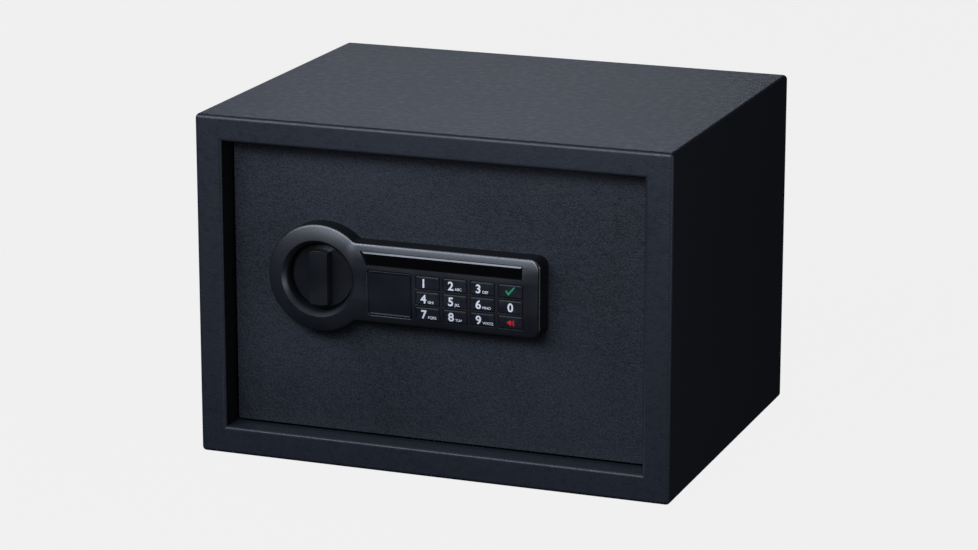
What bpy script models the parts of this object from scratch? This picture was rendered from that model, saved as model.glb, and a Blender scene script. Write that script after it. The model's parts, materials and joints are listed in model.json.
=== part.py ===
"""Electronic keypad safe for a hotel room: a folded steel cabinet with a recessed, hinged door.

The door carries a plastic lock housing (knob, twelve push buttons, indicator window, removable cover
over an override key lock) and, on its back, the bolt work, a solenoid that blocks it and a battery box.
Units are metres. +Z is up, the front faces -Y, and the origin is the middle of the cabinet's base.
"Depth" below always means distance behind the plane of the cabinet's front face.
The model stands at rest with the door shut, the bolts drawn and the solenoid pulled in.
"""

import math

import bmesh
import bpy
from mathutils import Matrix

# Cabinet
WIDTH, DEPTH, HEIGHT = 0.350, 0.272, 0.246
SHEET = 0.002
FLANGE = 0.020
FLANGE_TOP = 0.0185
EDGE_RADIUS = 0.003
LIP_DEPTHS = {"left": 0.023, "right": 0.019, "top": 0.033, "bottom": 0.033}
ANCHOR_RADIUS = 0.005
ANCHOR_X = 0.100
ANCHOR_Z = 0.150
MAT_THICKNESS = 0.003

# Door
RECESS = 0.017
DOOR_THICKNESS = 0.004
DOOR_GAP = 0.002
HINGE_X = 0.141
HINGE_DEPTH = 0.025
HINGE_PIN_RADIUS = 0.003

# Gaps: between faces that touch, and round a pin that turns in a hole
TOUCH = 0.0003
RUNNING = 0.0002

# Lock housing, on the front of the door
KNOB_X, KNOB_Z = -0.0837, 0.1352
HOUSING_FRONT = 0.0010
HOUSING_RING_RADIUS = 0.0385
HOUSING_RIGHT = 0.0812
HOUSING_HALF_HEIGHT = 0.0281
HOUSING_CORNER = 0.0070
HOUSING_FILLET = 0.0060
HOUSING_EDGE = 0.0030
HOUSING_CAVITY_FRONT = 0.0060
WELL_RADIUS = 0.0240
WINDOW_X = (-0.0500, 0.0670)
WINDOW_Z = (0.1487, 0.1573)
WINDOW_RECESS = 0.0035
KEY_X, KEY_Z = -0.0291, 0.1276
POCKET_X, POCKET_Z = -0.0298, 0.1290
KEY_COVER_SIDE = 0.0322
KEY_POCKET_SIDE = 0.0328
KEY_POCKET_BACK = 0.0045

# Push buttons
BUTTON_WIDTH, BUTTON_HEIGHT = 0.0176, 0.0098
BUTTON_FRONT, BUTTON_BACK = 0.0002, 0.0064
BUTTON_CLEARANCE = 0.0003
BUTTON_COLUMNS = (-0.0012, 0.0189, 0.0391, 0.0595)
BUTTON_ROWS = (0.1400, 0.1289, 0.1178)
BUTTON_NAMES = (("1", "2", "3", "enter"), ("4", "5", "6", "0"), ("7", "8", "9", "clear"))

# Knob and crank
KNOB_RADIUS = 0.0224
KNOB_DISC = (0.0110, 0.0150)
GRIP_WIDTH, GRIP_RADIUS, GRIP_FRONT = 0.0134, 0.0195, 0.0026
SPINDLE_RADIUS = 0.0060
CRANK_DEPTHS = (0.0250, 0.0290)
CRANK_RADIUS = 0.0100
CRANK_PIN_RADIUS = 0.0030
CRANK_TURN = math.radians(90)

# Bolt work, on the back of the door
BOLT_RADIUS = 0.0070
BOLT_Z = (0.085, 0.185)
BOLT_DEPTH = 0.0315
BOLT_TIP_X = -0.152
BOLT_THROW = 2 * CRANK_RADIUS * math.sin(CRANK_TURN / 2)
CARRIAGE_THICKNESS = 0.002
CARRIAGE_X = (-0.124, -0.060)
CARRIAGE_Z = (0.076, 0.194)
GUIDE_SCREW_X = -0.095
GUIDE_SCREW_Z = (0.100, 0.170)
COVER_X, COVER_Z, COVER_DEPTHS = (-0.146, 0.126), (0.046, 0.204), (0.0213, 0.0570)
COVER_SHEET = 0.0015

# Solenoid, below the override key lock
PLUNGER_RADIUS = 0.0040
PLUNGER_DEPTH = 0.0340
PLUNGER_TRAVEL = 0.005
PLUNGER_TOP = 0.1023
SOLENOID_Z = (0.054, 0.086)

# Battery box
CELL_RADIUS, CELL_LENGTH, CELL_PITCH = 0.0071, 0.0492, 0.0149
CELL_COUNT = 4
TRAY_X, TRAY_Z, TRAY_DEPTHS = (0.039, 0.101), (0.092, 0.156), (0.036, 0.0552)
RESET_X, RESET_Z, RESET_RADIUS = 0.112, 0.182, 0.0040

PART_COLLECTION = "keypad_safe"
CUTTER_COLLECTION = "cutters"
PALETTE = {
    "cabinet_paint": ((0.030, 0.032, 0.038), 0.45, 0.0),
    "door_paint": ((0.035, 0.037, 0.045), 0.55, 0.0),
    "housing_plastic": ((0.022, 0.023, 0.028), 0.40, 0.0),
    "window_acrylic": ((0.004, 0.004, 0.004), 0.08, 0.0),
    "button_rubber": ((0.028, 0.029, 0.034), 0.55, 0.0),
    "zinc_steel": ((0.62, 0.62, 0.60), 0.35, 1.0),
    "brass": ((0.70, 0.52, 0.22), 0.35, 1.0),
    "mat_felt": ((0.050, 0.050, 0.055), 0.95, 0.0),
    "board_green": ((0.020, 0.110, 0.050), 0.50, 0.0),
    "coil_copper": ((0.55, 0.24, 0.10), 0.40, 1.0),
    "cell_jacket": ((0.12, 0.12, 0.13), 0.35, 0.0),
    "reset_red": ((0.60, 0.02, 0.02), 0.40, 0.0),
    "lead_black": ((0.015, 0.015, 0.015), 0.50, 0.0),
}


# ---------------------------------------------------------------- scene helpers


def clear_scene():
    for obj in list(bpy.data.objects):
        bpy.data.objects.remove(obj)
    for name in (PART_COLLECTION, CUTTER_COLLECTION):
        bpy.context.scene.collection.children.link(bpy.data.collections.new(name))


def material(name):
    found = bpy.data.materials.get(name)
    if found:
        return found
    colour, roughness, metallic = PALETTE[name]
    made = bpy.data.materials.new(name)
    made.use_nodes = True
    shader = made.node_tree.nodes["Principled BSDF"]
    shader.inputs["Base Color"].default_value = (*colour, 1.0)
    shader.inputs["Roughness"].default_value = roughness
    shader.inputs["Metallic"].default_value = metallic
    return made


def at_depth(depth):
    """The Y of the plane that lies this far behind the cabinet's front face."""
    return depth - DEPTH / 2


def finish_object(obj, paint, parent):
    """Puts a new object in the part's collection with its paint, or among the cutters if it has none."""
    collection = bpy.data.collections[PART_COLLECTION if paint else CUTTER_COLLECTION]
    collection.objects.link(obj)
    if paint:
        obj.data.materials.append(material(paint))
    else:
        obj.hide_render = True
        obj.display_type = "WIRE"
    if parent:
        bpy.context.view_layer.update()
        obj.parent = parent
        obj.matrix_parent_inverse = parent.matrix_world.inverted()
    return obj


def pivot(name, location, parent=None):
    """An empty on a joint's axis, which the pieces that the joint moves hang from."""
    empty = bpy.data.objects.new(name, None)
    empty.location = location
    empty.empty_display_size = 0.02
    bpy.data.collections[PART_COLLECTION].objects.link(empty)
    bpy.context.view_layer.update()
    if parent:
        empty.parent = parent
        empty.matrix_parent_inverse = parent.matrix_world.inverted()
        bpy.context.view_layer.update()
    return empty


def block(name, x, depths, z, paint=None, parent=None):
    """A box between two X, two depths and two Z."""
    mesh = bpy.data.meshes.new(name)
    shape = bmesh.new()
    bmesh.ops.create_cube(shape, size=1.0)
    sizes = (x[1] - x[0], depths[1] - depths[0], z[1] - z[0])
    bmesh.ops.scale(shape, vec=sizes, verts=shape.verts)
    shape.to_mesh(mesh)
    shape.free()
    obj = bpy.data.objects.new(name, mesh)
    obj.location = (sum(x) / 2, at_depth(sum(depths) / 2), sum(z) / 2)
    return finish_object(obj, paint, parent)


TURN_TO = {"X": (0, math.radians(90), 0), "Y": (math.radians(-90), 0, 0), "Z": (0, 0, 0)}


def rod(name, start, length, radius, axis, paint=None, parent=None, sides=32):
    """A cylinder that runs this length along +axis from its start, which is (x, depth, z)."""
    mesh = bpy.data.meshes.new(name)
    shape = bmesh.new()
    bmesh.ops.create_cone(
        shape, cap_ends=True, segments=sides, radius1=radius, radius2=radius, depth=length
    )
    bmesh.ops.translate(shape, vec=(0, 0, length / 2), verts=shape.verts)
    shape.to_mesh(mesh)
    shape.free()
    mesh.shade_smooth()
    mesh.set_sharp_from_angle(angle=math.radians(40))
    obj = bpy.data.objects.new(name, mesh)
    obj.location = (start[0], at_depth(start[1]), start[2])
    obj.rotation_euler = TURN_TO[axis]
    return finish_object(obj, paint, parent)


def turned(name, start, profile, axis, paint=None, parent=None, steps=32):
    """A turned piece. The profile is (radius, distance along +axis from the start), far end first."""
    mesh = bpy.data.meshes.new(name)
    points = [(radius, 0, along) for radius, along in profile]
    mesh.from_pydata(points, [(i, i + 1) for i in range(len(points) - 1)], [])
    obj = bpy.data.objects.new(name, mesh)
    obj.location = (start[0], at_depth(start[1]), start[2])
    obj.rotation_euler = TURN_TO[axis]
    screw = obj.modifiers.new("turn", "SCREW")
    screw.steps = steps
    screw.render_steps = steps
    screw.use_merge_vertices = True
    screw.merge_threshold = 0.00002
    return finish_object(obj, paint, parent)


def arc(centre, radius, start, end, count):
    """Points on an arc, from one angle to another in degrees, anticlockwise from +X in the X-Z plane."""
    angles = [math.radians(start + (end - start) * i / count) for i in range(count + 1)]
    return [(centre[0] + radius * math.cos(a), centre[1] + radius * math.sin(a)) for a in angles]


def rounded_rectangle(x, z, radius, count=4):
    corners = (
        ((x[1] - radius, z[1] - radius), 0),
        ((x[0] + radius, z[1] - radius), 90),
        ((x[0] + radius, z[0] + radius), 180),
        ((x[1] - radius, z[0] + radius), 270),
    )
    return [p for centre, start in corners for p in arc(centre, radius, start, start + 90, count)]


def slot_outline(x, z, radius, count=6):
    """A slot along X with round ends, between the centres of its two ends."""
    return arc((x[1], z), radius, -90, 90, count) + arc((x[0], z), radius, 90, 270, count)


def plate(name, outlines, depths, paint=None, parent=None, edge=0.0):
    """A flat plate in the X-Z plane, its edges rounded by this radius at the front and the back.

    The first outline is the plate's own edge and the others are its holes.
    """
    curve = bpy.data.curves.new(name, "CURVE")
    curve.dimensions = "2D"
    curve.fill_mode = "BOTH"
    curve.extrude = (depths[1] - depths[0]) / 2 - edge
    curve.bevel_depth = edge
    curve.bevel_resolution = 2
    curve.offset = -edge
    for outline in outlines:
        spline = curve.splines.new("POLY")
        spline.points.add(len(outline) - 1)
        for point, (x, z) in zip(spline.points, outline):
            point.co = (x, z, 0, 1)
        spline.use_cyclic_u = True
    drawn = bpy.data.objects.new(name + "_outline", curve)
    drawn.location = (0, at_depth(sum(depths) / 2), 0)
    drawn.rotation_euler = (math.radians(90), 0, 0)
    return as_mesh(drawn, name, paint, parent)


def as_mesh(drawn, name, paint, parent):
    """Makes a curve object a closed mesh object of that name, and removes the curve."""
    bpy.context.scene.collection.objects.link(drawn)
    bpy.context.view_layer.update()
    graph = bpy.context.evaluated_depsgraph_get()
    mesh = bpy.data.meshes.new_from_object(drawn.evaluated_get(graph))
    mesh.name = name
    shape = bmesh.new()
    shape.from_mesh(mesh)
    bmesh.ops.remove_doubles(shape, verts=shape.verts, dist=0.000005)
    bmesh.ops.recalc_face_normals(shape, faces=shape.faces)
    shape.to_mesh(mesh)
    shape.free()
    mesh.materials.clear()
    obj = bpy.data.objects.new(name, mesh)
    obj.matrix_world = drawn.matrix_world
    bpy.data.objects.remove(drawn)
    return finish_object(obj, paint, parent)


def combine(obj, other, operation="DIFFERENCE"):
    step = obj.modifiers.new(operation.lower() + "_" + other.name, "BOOLEAN")
    step.object = other
    step.operation = operation
    step.solver = "EXACT"
    return obj


def cut(obj, *cutters):
    for cutter in cutters:
        combine(obj, cutter)
    return obj


def join(obj, *others):
    for other in others:
        combine(obj, other, "UNION")
    return obj


def round_edges(obj, width, segments=2, angle=40):
    bevel = obj.modifiers.new("round_edges", "BEVEL")
    bevel.width = width
    bevel.segments = segments
    bevel.limit_method = "ANGLE"
    bevel.angle_limit = math.radians(angle)
    return obj


def hole(obj, x, z, radius, depths, sides=32):
    """Drills a round hole from front to back through a piece."""
    name = f"{obj.name}_hole_{len(obj.modifiers)}"
    drill = rod(name, (x, depths[0], z), depths[1] - depths[0], radius, "Y", sides=sides)
    return cut(obj, drill)


def lead(name, points, radius, parent):
    """An insulated wire along a smooth curve through its own points, each (x, depth, z)."""
    curve = bpy.data.curves.new(name, "CURVE")
    curve.dimensions = "3D"
    curve.bevel_depth = radius
    curve.bevel_resolution = 2
    curve.use_fill_caps = True
    route = smooth_route(points)
    spline = curve.splines.new("POLY")
    spline.points.add(len(route) - 1)
    for point, (x, depth, z) in zip(spline.points, route):
        point.co = (x, at_depth(depth), z, 1)
    drawn = bpy.data.objects.new(name + "_route", curve)
    return as_mesh(drawn, name, "lead_black", parent)


def smooth_route(points, per_span=5):
    """Points along a Catmull-Rom curve through the given ones."""
    ends = [points[0], *points, points[-1]]
    route = []
    for a, b, c, d in zip(ends, ends[1:], ends[2:], ends[3:]):
        for i in range(per_span):
            t = i / per_span
            weights = (
                (-t + 2 * t**2 - t**3) / 2,
                (2 - 5 * t**2 + 3 * t**3) / 2,
                (t + 4 * t**2 - 3 * t**3) / 2,
                (t**3 - t**2) / 2,
            )
            route.append(tuple(sum(w * p[k] for w, p in zip(weights, (a, b, c, d))) for k in range(3)))
    return [*route, points[-1]]


# ---------------------------------------------------------------- cabinet


OPENING_X = (FLANGE - WIDTH / 2, WIDTH / 2 - FLANGE)
OPENING_Z = (FLANGE, HEIGHT - FLANGE_TOP)
DOOR_X = (OPENING_X[0] + DOOR_GAP, OPENING_X[1] - DOOR_GAP)
DOOR_Z = (OPENING_Z[0] + DOOR_GAP, OPENING_Z[1] - DOOR_GAP)
DOOR_BACK = RECESS + DOOR_THICKNESS


def folded_box():
    """The outside of the cabinet, with every edge folded round but the four at the back."""
    shell = block("body_shell", (-WIDTH / 2, WIDTH / 2), (0, DEPTH), (0, HEIGHT), "cabinet_paint")
    weights = shell.data.attributes.new("bevel_weight_edge", "FLOAT", "EDGE")
    for edge in shell.data.edges:
        at_back = all(shell.data.vertices[v].co.y > 0 for v in edge.vertices)
        weights.data[edge.index].value = 0.0 if at_back else 1.0
    bevel = shell.modifiers.new("folds", "BEVEL")
    bevel.width = EDGE_RADIUS
    bevel.segments = 4
    bevel.limit_method = "WEIGHT"
    return shell


def body_shell():
    """Top, floor, sides, front flange and the lips that the flange folds back into."""
    shell = folded_box()
    inside_x = (SHEET - WIDTH / 2, WIDTH / 2 - SHEET)
    inside_z = (SHEET, HEIGHT - SHEET)
    cut(shell, block("cavity", inside_x, (SHEET, DEPTH + 0.01), inside_z))
    cut(shell, block("door_opening", OPENING_X, (-0.01, 0.01), OPENING_Z))
    (left, right), (low, high) = OPENING_X, OPENING_Z
    across, up = (left - SHEET, right + SHEET), (low - SHEET, high + SHEET)
    lips = {
        "left": ((left - SHEET, left), up),
        "right": ((right, right + SHEET), up),
        "top": (across, (high, high + SHEET)),
        "bottom": (across, (low - SHEET, low)),
    }
    for side, (x, z) in lips.items():
        join(shell, block("lip_" + side, x, (SHEET / 2, LIP_DEPTHS[side]), z))
    pin_hole = HINGE_PIN_RADIUS + RUNNING
    for end, start in (("upper", high - 0.001), ("lower", low - SHEET - 0.001)):
        drill = rod("lip_hole_" + end, (HINGE_X, HINGE_DEPTH, start), SHEET + 0.002, pin_hole, "Z")
        cut(shell, drill)
    return floor_anchor_holes(shell, ANCHOR_RADIUS)


def floor_anchor_holes(piece, radius):
    """Two upright holes, for the bolts that fix the cabinet to a shelf."""
    for side, x in (("left", -ANCHOR_X), ("right", ANCHOR_X)):
        start = (x, DEPTH / 2, -0.001)
        cut(piece, rod(f"{piece.name}_anchor_{side}", start, 0.010, radius, "Z", sides=24))
    return piece


def back_panel():
    """The flat back, welded inside the rear of the shell, with two anchor holes."""
    edge = SHEET + TOUCH
    x = (edge - WIDTH / 2, WIDTH / 2 - edge)
    panel = block("back_panel", x, (DEPTH - SHEET, DEPTH), (edge, HEIGHT - edge), "cabinet_paint")
    for side in (-1, 1):
        hole(panel, side * ANCHOR_X, ANCHOR_Z, ANCHOR_RADIUS, (DEPTH - 0.01, DEPTH + 0.01), 24)
    return panel


def hinge_plates():
    """Thick steel washers welded outside the top and bottom lips, where the hinge pins turn."""
    thickness = 0.003
    starts = {
        "upper": OPENING_Z[1] + SHEET + TOUCH,
        "lower": OPENING_Z[0] - SHEET - TOUCH - thickness,
    }
    for end, low in starts.items():
        plate_z = (low, low + thickness)
        made = block("hinge_plate_" + end, (0.128, 0.154), (0.015, 0.0325), plate_z, "zinc_steel")
        start = (HINGE_X, HINGE_DEPTH, low - 0.001)
        drill = rod(f"plate_hole_{end}", start, thickness + 0.002, HINGE_PIN_RADIUS + RUNNING, "Z")
        cut(made, drill)


def door_stops():
    """Two tabs behind the free edge of the door, which stop it from swinging inwards."""
    depths = (DOOR_BACK + 0.0006, DOOR_BACK + 0.0046)
    tab = 0.0115
    spans = {
        "upper": (OPENING_Z[1] - TOUCH - tab, OPENING_Z[1] - TOUCH),
        "lower": (OPENING_Z[0] + TOUCH, OPENING_Z[0] + TOUCH + tab),
    }
    for end, z in spans.items():
        round_edges(block("door_stop_" + end, (-0.150, -0.126), depths, z, "cabinet_paint"), 0.001)


def floor_mat():
    low = SHEET + TOUCH
    mat = block("floor_mat", (-0.170, 0.170), (0.037, 0.268), (low, low + MAT_THICKNESS), "mat_felt")
    round_edges(mat, 0.001)
    return floor_anchor_holes(mat, ANCHOR_RADIUS + 0.001)


# ---------------------------------------------------------------- door


def door_panel(parent):
    outline = rounded_rectangle(DOOR_X, DOOR_Z, 0.0015, 3)
    cable_hole = arc((0.030, 0.1262), 0.006, 0, 345, 23)
    knob_hole = arc((KNOB_X, KNOB_Z), 0.0082, 0, 350, 35)
    lock_hole = arc((KEY_X, KEY_Z), 0.0090, 0, 350, 35)
    holes = (knob_hole, lock_hole, cable_hole)
    panel = plate("door_panel", [outline, *holes], (RECESS, DOOR_BACK), "door_paint", parent)
    return round_edges(panel, 0.0008, 2, 60)


def hinge_hardware(parent):
    """A block welded to the door's back at each end, and the pin that stands in it."""
    block_length, pin_length = 0.0247, 0.0300
    block_depths = (DOOR_BACK + TOUCH, 0.031)
    for end, side, edge in (("upper", 1, DOOR_Z[1]), ("lower", -1, DOOR_Z[0])):
        near = edge - side * TOUCH
        z = sorted((near, near - side * block_length))
        body = block("hinge_block_" + end, (0.135, 0.147), block_depths, z, "zinc_steel", parent)
        tip = edge + side * 0.0072
        low = min(tip, tip - side * pin_length)
        start = (HINGE_X, HINGE_DEPTH, low)
        rod("hinge_pin_" + end, start, pin_length, HINGE_PIN_RADIUS, "Z", "zinc_steel", parent)
        bore_start = (HINGE_X, HINGE_DEPTH, low - TOUCH)
        bore_length = pin_length + 2 * TOUCH
        cut(body, rod("bore_" + end, bore_start, bore_length, HINGE_PIN_RADIUS + RUNNING, "Z"))


def housing_outline():
    """The flag-shaped edge of the lock housing: a ring round the knob, blended into a panel to its right."""
    ring, half, fillet = HOUSING_RING_RADIUS, HOUSING_HALF_HEIGHT, HOUSING_FILLET
    corner, top, bottom = HOUSING_CORNER, KNOB_Z + half, KNOB_Z - half
    meet = math.degrees(math.asin((half + fillet) / (ring + fillet)))
    fillet_x = KNOB_X + math.sqrt((ring + fillet) ** 2 - (half + fillet) ** 2)
    right = HOUSING_RIGHT - corner
    return (
        arc((KNOB_X, KNOB_Z), ring, meet, 360 - meet, 40)
        + arc((fillet_x, bottom - fillet), fillet, 180 - meet, 90, 4)[1:]
        + arc((right, bottom + corner), corner, 270, 360, 6)
        + arc((right, top - corner), corner, 0, 90, 6)
        + arc((fillet_x, top + fillet), fillet, 270, 180 + meet, 4)[:-1]
    )


def button_places():
    return [
        (name, x, z)
        for names, z in zip(BUTTON_NAMES, BUTTON_ROWS)
        for name, x in zip(names, BUTTON_COLUMNS)
    ]


def lock_bezel(parent):
    """The moulded housing: knob well, key pocket, window recess, twelve button holes, hollow back."""
    back = RECESS - TOUCH
    depths = (HOUSING_FRONT, back)
    well = arc((KNOB_X, KNOB_Z), WELL_RADIUS, 0, 352.5, 47)
    outlines = [housing_outline(), well]
    bezel = plate("lock_bezel", outlines, depths, "housing_plastic", parent, HOUSING_EDGE)
    front = HOUSING_FRONT - 0.005
    half = KEY_POCKET_SIDE / 2
    pocket_x, pocket_z = (POCKET_X - half, POCKET_X + half), (POCKET_Z - half, POCKET_Z + half)
    pocket = block("key_pocket", pocket_x, (front, KEY_POCKET_BACK), pocket_z)
    window_back = HOUSING_FRONT + WINDOW_RECESS
    window = plate("window_recess", [window_outline(0.0003)], (front, window_back))
    cut(bezel, pocket, window)
    cavity = block("board_cavity", (-0.0117, 0.0752), (HOUSING_CAVITY_FRONT, back + 0.005), (0.1107, 0.1600))
    cut(bezel, cavity)
    hole(bezel, KEY_X, KEY_Z, 0.0089, (0.002, back + 0.005))
    grow = BUTTON_CLEARANCE
    for name, x, z in button_places():
        span_x = (x - BUTTON_WIDTH / 2 - grow, x + BUTTON_WIDTH / 2 + grow)
        span_z = (z - BUTTON_HEIGHT / 2 - grow, z + BUTTON_HEIGHT / 2 + grow)
        cut(bezel, block("button_hole_" + name, span_x, (front, 0.008), span_z))
    return bezel


def window_outline(grow=0.0):
    """The indicator window, whose left end follows the ring round the knob."""
    radius = HOUSING_RING_RADIUS + 0.0008 - grow
    low, high = WINDOW_Z[0] - grow, WINDOW_Z[1] + grow
    angles = [math.degrees(math.asin((z - KNOB_Z) / radius)) for z in (high, low)]
    left = arc((KNOB_X, KNOB_Z), radius, angles[0], angles[1], 4)
    return [*left, (WINDOW_X[1] + grow, low), (WINDOW_X[1] + grow, high)]


def indicator_window(parent):
    depths = (HOUSING_FRONT + 0.0008, HOUSING_FRONT + WINDOW_RECESS - TOUCH)
    window = plate("indicator_window", [window_outline()], depths, "window_acrylic", parent)
    return round_edges(window, 0.0006, 1, 60)


def keypad_electronics(parent):
    """The rubber dome mat behind the buttons, and the circuit board behind that."""
    x, z = (-0.0112, 0.0747), (0.1112, 0.1462)
    block("keypad_mat", x, (0.0076, 0.0088), z, "button_rubber", parent)
    block("circuit_board", x, (0.0092, 0.0108), (0.1112, 0.1595), "board_green", parent)


def buttons(parent):
    for name, x, z in button_places():
        press = pivot("press_" + name + "_axis", (x, at_depth(BUTTON_FRONT), z), parent)
        span_x = (x - BUTTON_WIDTH / 2, x + BUTTON_WIDTH / 2)
        span_z = (z - BUTTON_HEIGHT / 2, z + BUTTON_HEIGHT / 2)
        cap = block("button_" + name, span_x, (BUTTON_FRONT, BUTTON_BACK), span_z, "button_rubber", press)
        round_edges(cap, 0.0007)


# ---------------------------------------------------------------- override key lock


def key_lock(door):
    """A cam lock behind a cover that pulls off. Its cam pushes the solenoid plunger down."""
    front, back = KEY_POCKET_BACK + TOUCH, 0.0350
    barrel_radius, plug_radius = 0.0085, 0.0055
    barrel = rod("key_barrel", (KEY_X, front, KEY_Z), back - front, barrel_radius, "Y", "zinc_steel", door)
    hole(barrel, KEY_X, KEY_Z, plug_radius + 0.0003, (front - 0.005, back + 0.005))
    turn = pivot("key_turn_axis", (KEY_X, at_depth(front), KEY_Z), door)
    tail = 0.0386
    shape = [(0, tail), (0.0028, tail), (0.0028, back + 0.001), (plug_radius, back + 0.001)]
    shape += [(plug_radius, front), (0, front)]
    profile = [(radius, along - front) for radius, along in shape]
    plug = turned("key_plug", (KEY_X, front, KEY_Z), profile, "Y", "brass", turn)
    keyway_x = (KEY_X - 0.0008, KEY_X + 0.0008)
    cut(plug, block("keyway", keyway_x, (front - 0.002, 0.020), (KEY_Z - 0.0034, KEY_Z + 0.0034)))
    key_cam(turn)
    grip = pivot("key_cover_axis", (POCKET_X, at_depth(HOUSING_FRONT), POCKET_Z), door)
    half = KEY_COVER_SIDE / 2
    cover_x, cover_z = (POCKET_X - half, POCKET_X + half), (POCKET_Z - half, POCKET_Z + half)
    outline = rounded_rectangle(cover_x, cover_z, 0.002)
    cover = plate("key_cover", [outline], (0.0016, 0.0038), "housing_plastic", grip)
    round_edges(cover, 0.0005, 1, 60)


def key_cam(parent):
    """A cam whose lobe points right at rest, and down on the plunger's blade after a quarter turn."""
    small, lobe = 0.0080, 0.0132
    depths = (0.0363, 0.0383)
    outline = []
    for i in range(36):
        angle = 10 * i
        near_lobe = max(0.0, 1 - min(angle, 360 - angle) / 60)
        radius = small + (lobe - small) * near_lobe * near_lobe * (3 - 2 * near_lobe)
        outline += arc((KEY_X, KEY_Z), radius, angle, angle, 1)[:1]
    tail_hole = arc((KEY_X, KEY_Z), 0.0031, 0, 345, 23)
    return plate("key_cam", [outline, tail_hole], depths, "zinc_steel", parent)


# ---------------------------------------------------------------- knob, crank and bolts


def knob_and_crank(door):
    turn = pivot("knob_turn_axis", (KNOB_X, at_depth(GRIP_FRONT), KNOB_Z), door)
    disc_front, disc_back = KNOB_DISC
    spindle_end = CRANK_DEPTHS[0] - TOUCH
    length = disc_back - disc_front
    disc = rod("knob", (KNOB_X, disc_front, KNOB_Z), length, KNOB_RADIUS, "Y", "housing_plastic", turn, 48)
    spindle_start = disc_back - 0.001
    spindle_length = spindle_end - spindle_start
    spindle = rod("spindle", (KNOB_X, spindle_start, KNOB_Z), spindle_length, SPINDLE_RADIUS, "Y")
    half_square = 0.0040
    square_x = (KNOB_X - half_square, KNOB_X + half_square)
    square_z = (KNOB_Z - half_square, KNOB_Z + half_square)
    square = block("spindle_square", square_x, (spindle_end - 0.001, CRANK_DEPTHS[1] + 0.0003), square_z)
    reach = math.degrees(math.acos(GRIP_WIDTH / 2 / GRIP_RADIUS))
    upper = arc((KNOB_X, KNOB_Z), GRIP_RADIUS, reach, 180 - reach, 6)
    lower = arc((KNOB_X, KNOB_Z), GRIP_RADIUS, 180 + reach, 360 - reach, 6)
    grip = plate("grip_shape", [upper + lower], (GRIP_FRONT, disc_front + 0.001))
    round_edges(grip, 0.0012, 2, 50)
    join(disc, grip, spindle, square)
    crank(turn, half_square)
    bush_back = DOOR_BACK + 0.002
    shape = [(0.0098, bush_back), (0.0098, DOOR_BACK + TOUCH), (0.0079, DOOR_BACK + TOUCH)]
    shape += [(0.0079, RECESS - 0.001), (SPINDLE_RADIUS + RUNNING, RECESS - 0.001)]
    shape += [(SPINDLE_RADIUS + RUNNING, bush_back), (0.0098, bush_back)]
    profile = [(radius, along - RECESS) for radius, along in shape]
    turned("knob_bushing", (KNOB_X, RECESS, KNOB_Z), profile, "Y", "button_rubber", door)


def crank(parent, half_square):
    """The arm on the spindle's square, with the pin that drives the bolt carriage."""
    angle = math.pi / 2 - CRANK_TURN / 2
    pin_x = KNOB_X + CRANK_RADIUS * math.cos(angle)
    pin_z = KNOB_Z + CRANK_RADIUS * math.sin(angle)
    turn = math.degrees(angle)
    hub, eye = 0.0085, 0.0050
    outline = arc((KNOB_X, KNOB_Z), hub, turn + 90, turn + 270, 12)
    outline += arc((pin_x, pin_z), eye, turn - 90, turn + 90, 8)
    clear = half_square + RUNNING
    square = rounded_rectangle((KNOB_X - clear, KNOB_X + clear), (KNOB_Z - clear, KNOB_Z + clear), 0.0002, 1)
    arm = plate("knob_crank", [outline, square], CRANK_DEPTHS, "zinc_steel", parent)
    start = (pin_x, CRANK_DEPTHS[1] - 0.001, pin_z)
    join(arm, rod("crank_pin", start, 0.006, CRANK_PIN_RADIUS, "Y", sides=24))


def bolt_carriage(door):
    """The sliding plate, with its crank slot, guide slots, bolt flange and the tab that is blocked."""
    slide = pivot("bolt_slide_axis", (BOLT_TIP_X, at_depth(BOLT_DEPTH), KNOB_Z), door)
    front = BOLT_DEPTH - CARRIAGE_THICKNESS / 2
    depths = (front, front + CARRIAGE_THICKNESS)
    (left, right), (low, high) = CARRIAGE_X, CARRIAGE_Z
    arm_low, arm_high = 0.1080, 0.1180
    tab_low, tab_left, tab_right = 0.1030, -0.0244, -0.0196
    fold = left + CARRIAGE_THICKNESS / 2
    outline = [(fold, low), (right, low), (right, arm_low), (tab_left, arm_low), (tab_left, tab_low)]
    outline += [(tab_right, tab_low), (tab_right, arm_high), (right, arm_high), (right, high), (fold, high)]
    half_travel = BOLT_THROW / 2
    crank_clear = CRANK_PIN_RADIUS + 0.0006
    pin_low = KNOB_Z + CRANK_RADIUS * math.cos(CRANK_TURN / 2)
    crank_slot = rounded_rectangle(
        (KNOB_X + half_travel - crank_clear, KNOB_X + half_travel + crank_clear),
        (pin_low - crank_clear, KNOB_Z + CRANK_RADIUS + crank_clear),
        0.0015,
        2,
    )
    guide_slots = [
        slot_outline((GUIDE_SCREW_X, GUIDE_SCREW_X + BOLT_THROW), z, 0.0026) for z in GUIDE_SCREW_Z
    ]
    plate_made = plate("bolt_carriage", [outline, crank_slot, *guide_slots], depths, "zinc_steel", slide)
    flange_z = (low - 0.001, high + 0.001)
    flange = block("carriage_flange", (left, left + CARRIAGE_THICKNESS), (0.0240, 0.0395), flange_z)
    join(plate_made, flange)
    for end, z in zip(("lower", "upper"), BOLT_Z):
        drill = rod("rivet_hole_" + end, (left - 0.002, BOLT_DEPTH, z), 0.010, 0.0042, "X", sides=24)
        cut(plate_made, drill)
        bolt("bolt_" + end, z, left, slide)


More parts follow.
